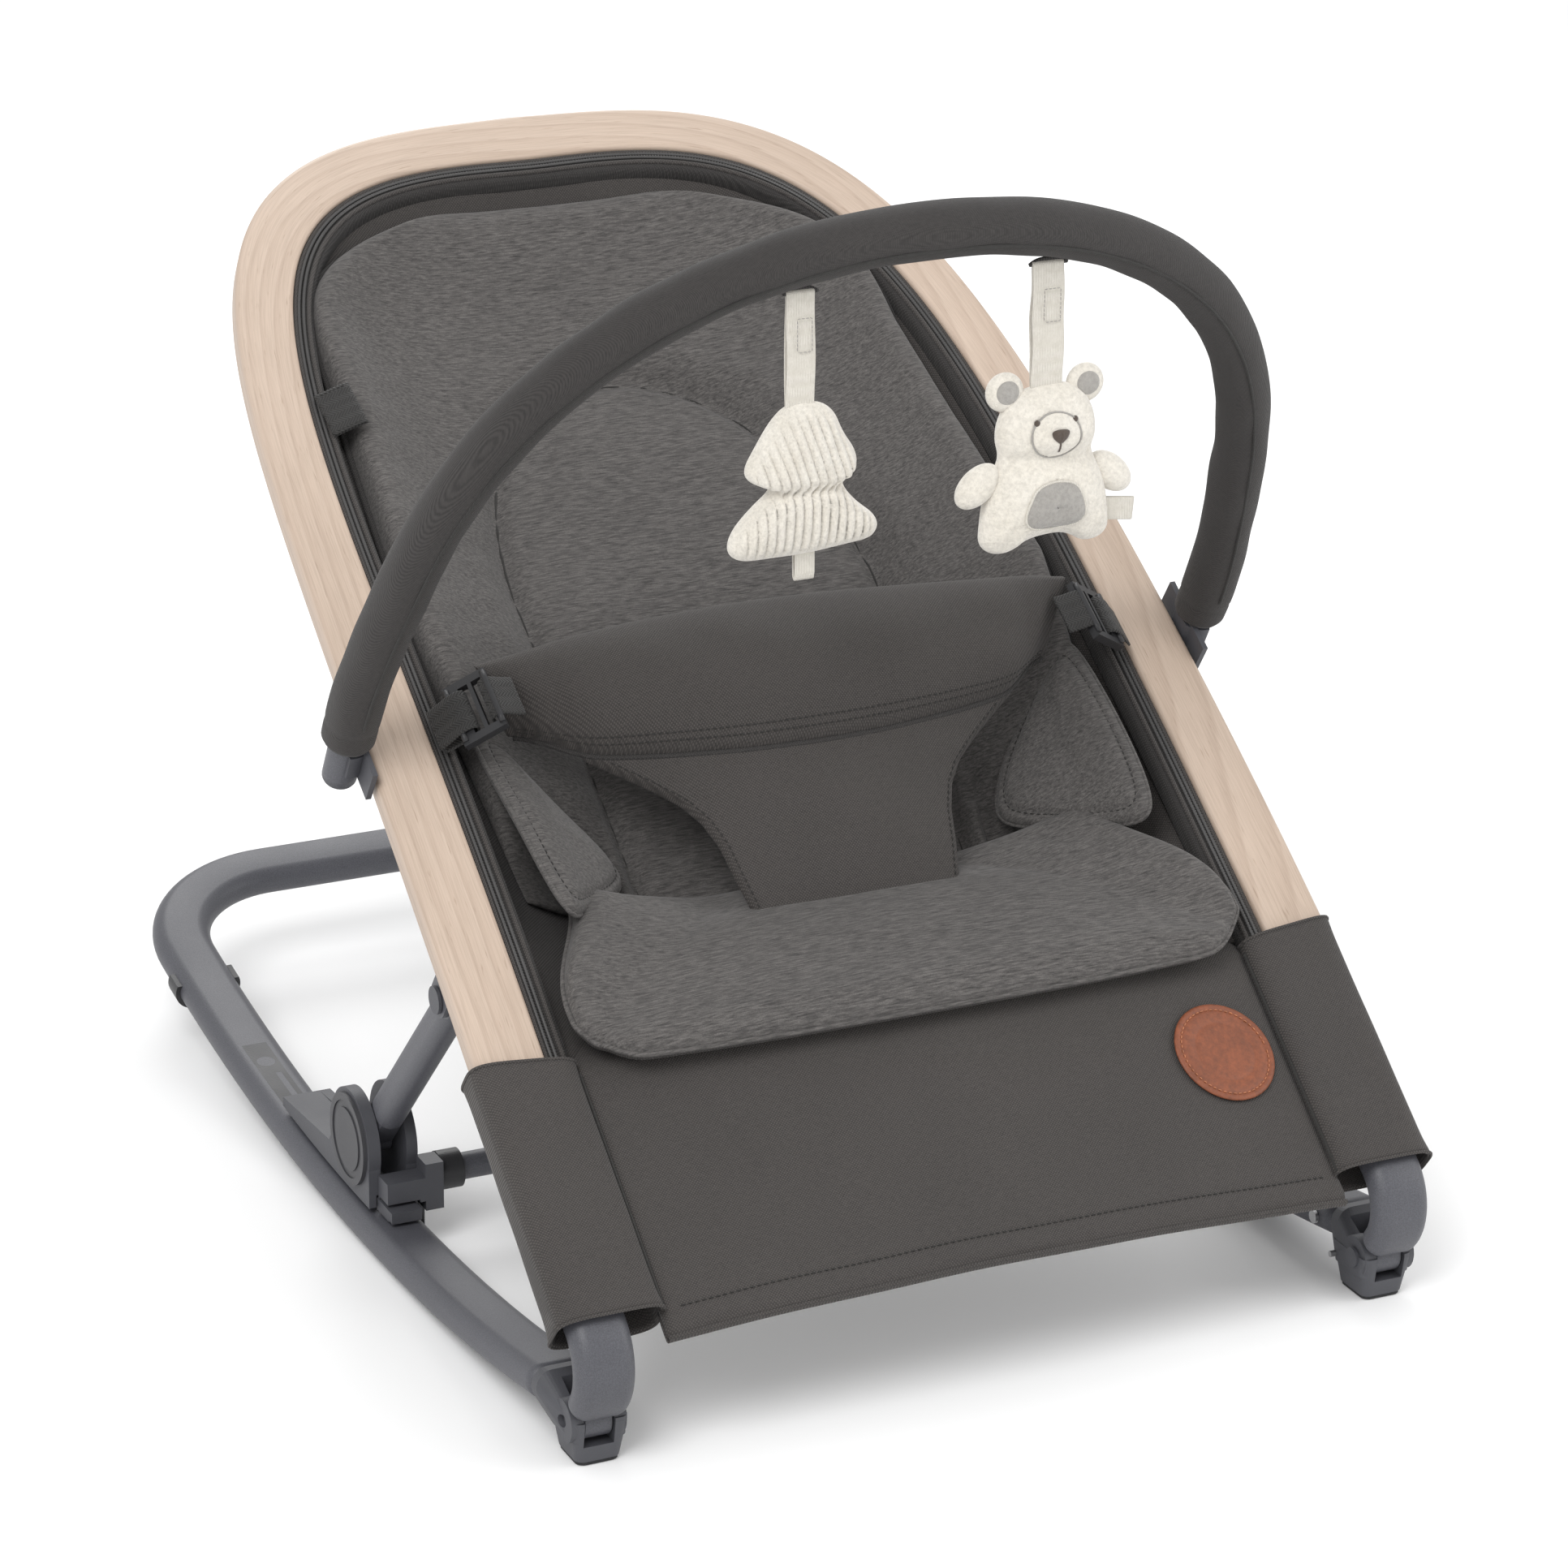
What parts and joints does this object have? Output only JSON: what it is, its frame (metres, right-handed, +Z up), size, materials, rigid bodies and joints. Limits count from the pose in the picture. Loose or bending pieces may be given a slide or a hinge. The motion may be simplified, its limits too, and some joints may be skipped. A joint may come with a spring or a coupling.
{
  "type": "baby bouncer seat",
  "caption": "Folding baby bouncer with a rocker base, wood-trimmed tilting seat, padded cover, waist strap and toy bar.",
  "frame": {"origin": "middle of the footprint at floor level", "axes": "+X across the seat, +Y towards the back, +Z up"},
  "size_m": [0.4672, 0.6323, 0.5227],
  "materials": {
    "coated_tube": "fine speckled grey powder coat",
    "grey_plastic": "moulded grey plastic, fine grain",
    "dark_plastic": "dark moulded plastic",
    "rubber": "soft black rubber",
    "bright_steel": "plain steel",
    "ash_trim": "pale ash, satin",
    "melange_jersey": "grey melange jersey",
    "woven_twill": "dark grey woven twill",
    "dark_tape": "black woven tape",
    "tan_leather": "tan leather with a stitched rim",
    "cream_plush": "cream soft toy cloth"
  },
  "bodies": {
    "base": {"base_tube": "coated_tube", "front_cap_left": "grey_plastic", "front_cap_right": "grey_plastic", "front_soles": "rubber", "front_hinge_pins": "bright_steel", "rear_pads": "rubber", "track_plate_left": "dark_plastic", "track_plate_right": "dark_plastic", "track_screws": "bright_steel", "cap_rivets": "bright_steel"},
    "seat": {"seat_tube": "coated_tube", "seat_leg_left": "coated_tube", "seat_leg_right": "coated_tube", "wood_trim": "ash_trim", "strut_bracket_left": "coated_tube", "strut_bracket_right": "coated_tube", "bracket_pins": "bright_steel", "bar_clip_left": "grey_plastic", "bar_clip_right": "grey_plastic", "seat_cover": "woven_twill", "zip_tape": "dark_tape", "back_cushion": "melange_jersey", "seat_cushion": "melange_jersey", "bolster_left": "melange_jersey", "bolster_right": "melange_jersey", "front_panel": "woven_twill", "boot_left": "woven_twill", "boot_right": "woven_twill", "leather_patch": "tan_leather", "side_tag": "dark_tape", "waist_pad": "woven_twill", "crotch_pad": "woven_twill", "webbing_left": "dark_tape", "webbing_right": "dark_tape", "buckle_left": "grey_plastic", "buckle_right": "grey_plastic"},
    "strut_left": {"strut_left": "coated_tube"},
    "strut_right": {"strut_right": "coated_tube"},
    "carriage": {"carriage_left": "grey_plastic", "carriage_right": "grey_plastic", "disc_cap_left": "dark_plastic", "disc_cap_right": "dark_plastic", "latch_block_left": "dark_plastic", "latch_block_right": "dark_plastic", "carriage_pins": "bright_steel", "cross_bar": "coated_tube", "bar_collars": "dark_plastic"},
    "tab_left": {"release_tab_left": "grey_plastic"},
    "tab_right": {"release_tab_right": "grey_plastic"},
    "toy_bar": {"toy_bar_tube": "coated_tube", "toy_bar_sleeve": "woven_twill", "bar_end_caps": "dark_plastic"},
    "tree": {"tree_strap": "cream_plush", "tree_toy": "cream_plush"},
    "bear": {"bear_strap": "cream_plush", "bear_toy": "cream_plush"}
  },
  "joints": [
    {"name": "seat_fold", "type": "hinge", "parent": "base", "child": "seat", "pos_m": [0, -0.28907, 0.02], "axis": [1, 0, 0], "range_deg": [-30, 0]},
    {"name": "strut_top_left", "type": "hinge", "parent": "seat", "child": "strut_left", "pos_m": [-0.1985, -0.13807, 0.16], "axis": [1, 0, 0], "range_deg": [0, 70]},
    {"name": "strut_top_right", "type": "hinge", "parent": "seat", "child": "strut_right", "pos_m": [0.1985, -0.13807, 0.16], "axis": [1, 0, 0], "range_deg": [0, 70]},
    {"name": "carriage_pivot", "type": "hinge", "parent": "strut_left", "child": "carriage", "pos_m": [-0.1985, -0.02507, 0.046], "axis": [1, 0, 0], "range_deg": [-36, 0]},
    {"name": "release_tab_left_pull", "type": "slide", "parent": "carriage", "child": "tab_left", "axis": [0, -0.9999, -0.017], "range_m": [0, 0.006], "stiffness_N_per_m": 400},
    {"name": "release_tab_right_pull", "type": "slide", "parent": "carriage", "child": "tab_right", "axis": [0, -0.9999, -0.017], "range_m": [0, 0.006], "stiffness_N_per_m": 400},
    {"name": "toy_bar_lift", "type": "slide", "parent": "seat", "child": "toy_bar", "axis": [0, -0.5, 0.866], "range_m": [0, 0.06]},
    {"name": "tree_swing", "type": "hinge", "parent": "toy_bar", "child": "tree", "pos_m": [-0.06, -0.20263, 0.50359], "axis": [1, 0, 0], "range_deg": [-35, 35]},
    {"name": "bear_swing", "type": "hinge", "parent": "toy_bar", "child": "bear", "pos_m": [0.06, -0.20263, 0.50359], "axis": [1, 0, 0], "range_deg": [-35, 35]}
  ],
  "couplings": [
    {"joint": "strut_top_left", "follows": "seat_fold", "ratio": -2.32},
    {"joint": "strut_top_right", "follows": "seat_fold", "ratio": -2.32},
    {"joint": "carriage_pivot", "follows": "seat_fold", "ratio": 1.18}
  ]
}
